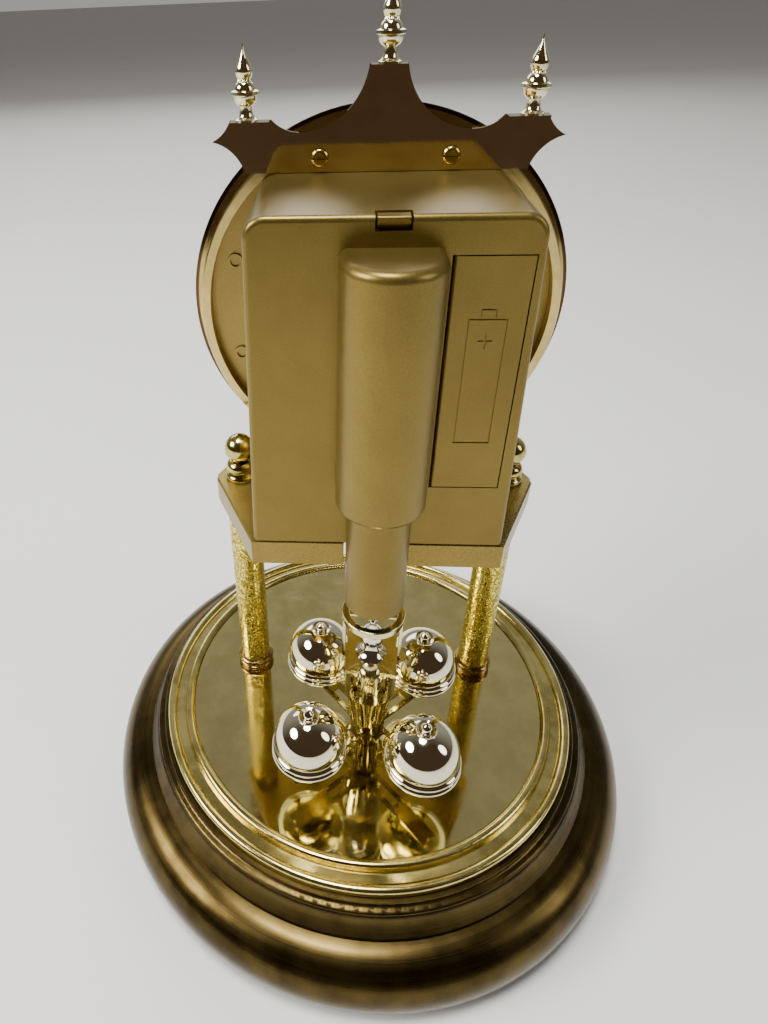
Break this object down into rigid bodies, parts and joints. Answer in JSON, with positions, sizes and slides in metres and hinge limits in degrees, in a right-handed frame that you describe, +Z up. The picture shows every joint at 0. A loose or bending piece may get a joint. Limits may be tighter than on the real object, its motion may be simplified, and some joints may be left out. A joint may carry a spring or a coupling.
{
  "type": "anniversary clock",
  "caption": "Battery anniversary clock: round dial and boxed movement on columns over a moulded round base, with a rotary ball pendulum hanging behind.",
  "frame": {"origin": "centre of the round base's underside, on the surface the clock stands on", "axes": "+Z up, -Y towards the viewer of the dial (front), +X to the right of that viewer; the case, battery door and pendulum are at the back, +Y"},
  "size_m": [0.184, 0.184, 0.249],
  "materials": {
    "antique_brass": "satin, spun rings, warm brown patina",
    "tray_brass": "polished, fine turned lines",
    "gold_mirror": "gold-tinted mirror polish with a faint ripple",
    "etched_brass": "etched scroll pattern on bright brass tube",
    "dark_brass": "polished, darkened",
    "stud_brass": "polished",
    "platform_gold": "satin gold lacquer",
    "cover_champagne": "satin champagne-gold lacquer, fine grain",
    "door_champagne": "satin champagne-gold lacquer, engraved",
    "latch_champagne": "satin champagne-gold lacquer",
    "frame_plastic": "moulded, satin",
    "black_plastic": "moulded, fine texture",
    "pediment_brass": "mirror-polished thin sheet",
    "screw_brass": "turned, slotted, bright",
    "finial_brass": "bright turned, knurled band",
    "bezel_brass": "polished, turned",
    "pan_gold": "satin gold lacquer",
    "dial_white": "satin ivory enamel",
    "chapter_silver": "circular brushed",
    "numeral_black": "printed enamel",
    "hand_black": "satin black enamel",
    "wheel_acetal": "natural acetal",
    "knob_black": "moulded, ribbed",
    "steel": "zinc plated",
    "copper_winding": "enamelled copper wire",
    "circuit_green": "solder mask",
    "cell_jacket": "lacquered sleeve",
    "contact_nickel": "nickel plated",
    "magnet_grey": "sintered",
    "ball_chrome": "mirror plated",
    "rim_gold": "polished beads",
    "arm_gold": "flat polished",
    "spindle_chrome": "mirror plated, turned",
    "gallery_gold": "polished",
    "bell_gold": "polished, fluted",
    "felt_green": "pressed felt",
    "core_plastic": "moulded",
    "base_steel": "black lacquered sheet steel"
  },
  "bodies": {
    "frame": {"base_shell": "antique_brass", "base_core": "core_plastic", "dome_tray": "tray_brass", "mirror_plate": "gold_mirror", "base_plate": "base_steel", "base_screws": "steel", "felt_ring": "felt_green", "centre_stud": "stud_brass", "foot_rings": "dark_brass", "tie_rods": "steel", "rod_nuts": "steel", "column_left": "etched_brass", "column_right": "etched_brass", "column_nuts": "stud_brass", "platform": "platform_gold", "frame_screws": "steel", "case_frame": "frame_plastic", "dial_nut": "steel", "battery_holder": "black_plastic", "battery_cell": "cell_jacket", "battery_contacts": "contact_nickel", "pediment_plate": "pediment_brass", "pediment_screws": "screw_brass", "finials": "finial_brass", "bezel_ring": "bezel_brass", "dial_pan": "pan_gold", "dial_face": "dial_white", "chapter_ring": "chapter_silver", "movement_front": "black_plastic", "movement_back": "black_plastic", "motor_stator": "steel", "motor_coil": "copper_winding", "circuit_board": "circuit_green", "quartz_can": "contact_nickel", "suspension_arm": "black_plastic", "suspension_wire": "steel", "coil_bobbin": "black_plastic", "drive_coil": "copper_winding"},
    "cover": {"rear_cover": "cover_champagne"},
    "door": {"battery_door": "door_champagne"},
    "latch": {"latch_tab": "latch_champagne"},
    "pendulum": {"drive_magnet": "magnet_grey", "pendulum_spindle": "spindle_chrome", "pendulum_gallery": "gallery_gold", "pendulum_bell": "bell_gold", "pendulum_arms": "arm_gold", "pendulum_balls": "ball_chrome", "ball_rims": "rim_gold"},
    "minute": {"minute_arbor": "steel", "minute_hand": "hand_black", "hand_nut": "hand_black"},
    "hour": {"hour_wheel": "wheel_acetal", "hour_hand": "hand_black"},
    "motion": {"motion_wheel": "wheel_acetal"},
    "knob": {"setting_knob": "knob_black"},
    "centre": {"centre_wheel": "wheel_acetal"},
    "third": {"third_wheel": "wheel_acetal"},
    "second": {"second_wheel": "wheel_acetal"},
    "step": {"step_wheel": "wheel_acetal"},
    "rotor": {"motor_rotor": "wheel_acetal"}
  },
  "joints": [
    {"name": "cover_slide", "type": "slide", "parent": "frame", "child": "cover", "axis": [0, 1, 0], "range_m": [0, 0.045]},
    {"name": "door_hinge", "type": "hinge", "parent": "cover", "child": "door", "pos_m": [-0.0137, 0.0195, 0.1705], "axis": [0, 0, -1], "range_deg": [0, 85]},
    {"name": "latch_press", "type": "slide", "parent": "cover", "child": "latch", "axis": [0, 0, -1], "range_m": [0, 0.001], "stiffness_N_per_m": 400, "springref_m": -0.0005},
    {"name": "pendulum_twist", "type": "hinge", "parent": "frame", "child": "pendulum", "pos_m": [0, 0.0255, 0.15], "axis": [0, 0, 1], "range_deg": [-135, 135], "stiffness_Nm_per_rad": 0.000024},
    {"name": "minute_turn", "type": "hinge", "parent": "frame", "child": "minute", "pos_m": [0, -0.01, 0.1712], "axis": [0, 1, 0], "continuous": true},
    {"name": "hour_turn", "type": "hinge", "parent": "frame", "child": "hour", "pos_m": [0, -0.01, 0.1712], "axis": [0, 1, 0], "continuous": true},
    {"name": "motion_turn", "type": "hinge", "parent": "frame", "child": "motion", "pos_m": [0, -0.01, 0.16495], "axis": [0, 1, 0], "continuous": true},
    {"name": "knob_turn", "type": "hinge", "parent": "frame", "child": "knob", "pos_m": [0.00313, -0.01, 0.15954], "axis": [0, 1, 0], "continuous": true},
    {"name": "second_turn", "type": "hinge", "parent": "frame", "child": "second", "pos_m": [0.00287, -0.01, 0.18636], "axis": [0, 1, 0], "continuous": true},
    {"name": "centre_turn", "type": "hinge", "parent": "frame", "child": "centre", "pos_m": [0, -0.01, 0.1712], "axis": [0, 1, 0], "continuous": true},
    {"name": "third_turn", "type": "hinge", "parent": "frame", "child": "third", "pos_m": [0.00425, -0.01, 0.17856], "axis": [0, 1, 0], "continuous": true},
    {"name": "step_turn", "type": "hinge", "parent": "frame", "child": "step", "pos_m": [-0.00337, -0.01, 0.18636], "axis": [0, 1, 0], "continuous": true},
    {"name": "rotor_turn", "type": "hinge", "parent": "frame", "child": "rotor", "pos_m": [-0.00863, -0.01, 0.18445], "axis": [0, 1, 0], "continuous": true}
  ],
  "couplings": [
    {"joint": "hour_turn", "follows": "minute_turn", "ratio": 0.083333},
    {"joint": "motion_turn", "follows": "minute_turn", "ratio": -0.33333},
    {"joint": "knob_turn", "follows": "minute_turn", "ratio": 1},
    {"joint": "centre_turn", "follows": "second_turn", "ratio": 0.016667},
    {"joint": "third_turn", "follows": "second_turn", "ratio": -0.125},
    {"joint": "step_turn", "follows": "second_turn", "ratio": -5},
    {"joint": "rotor_turn", "follows": "second_turn", "ratio": 30}
  ]
}
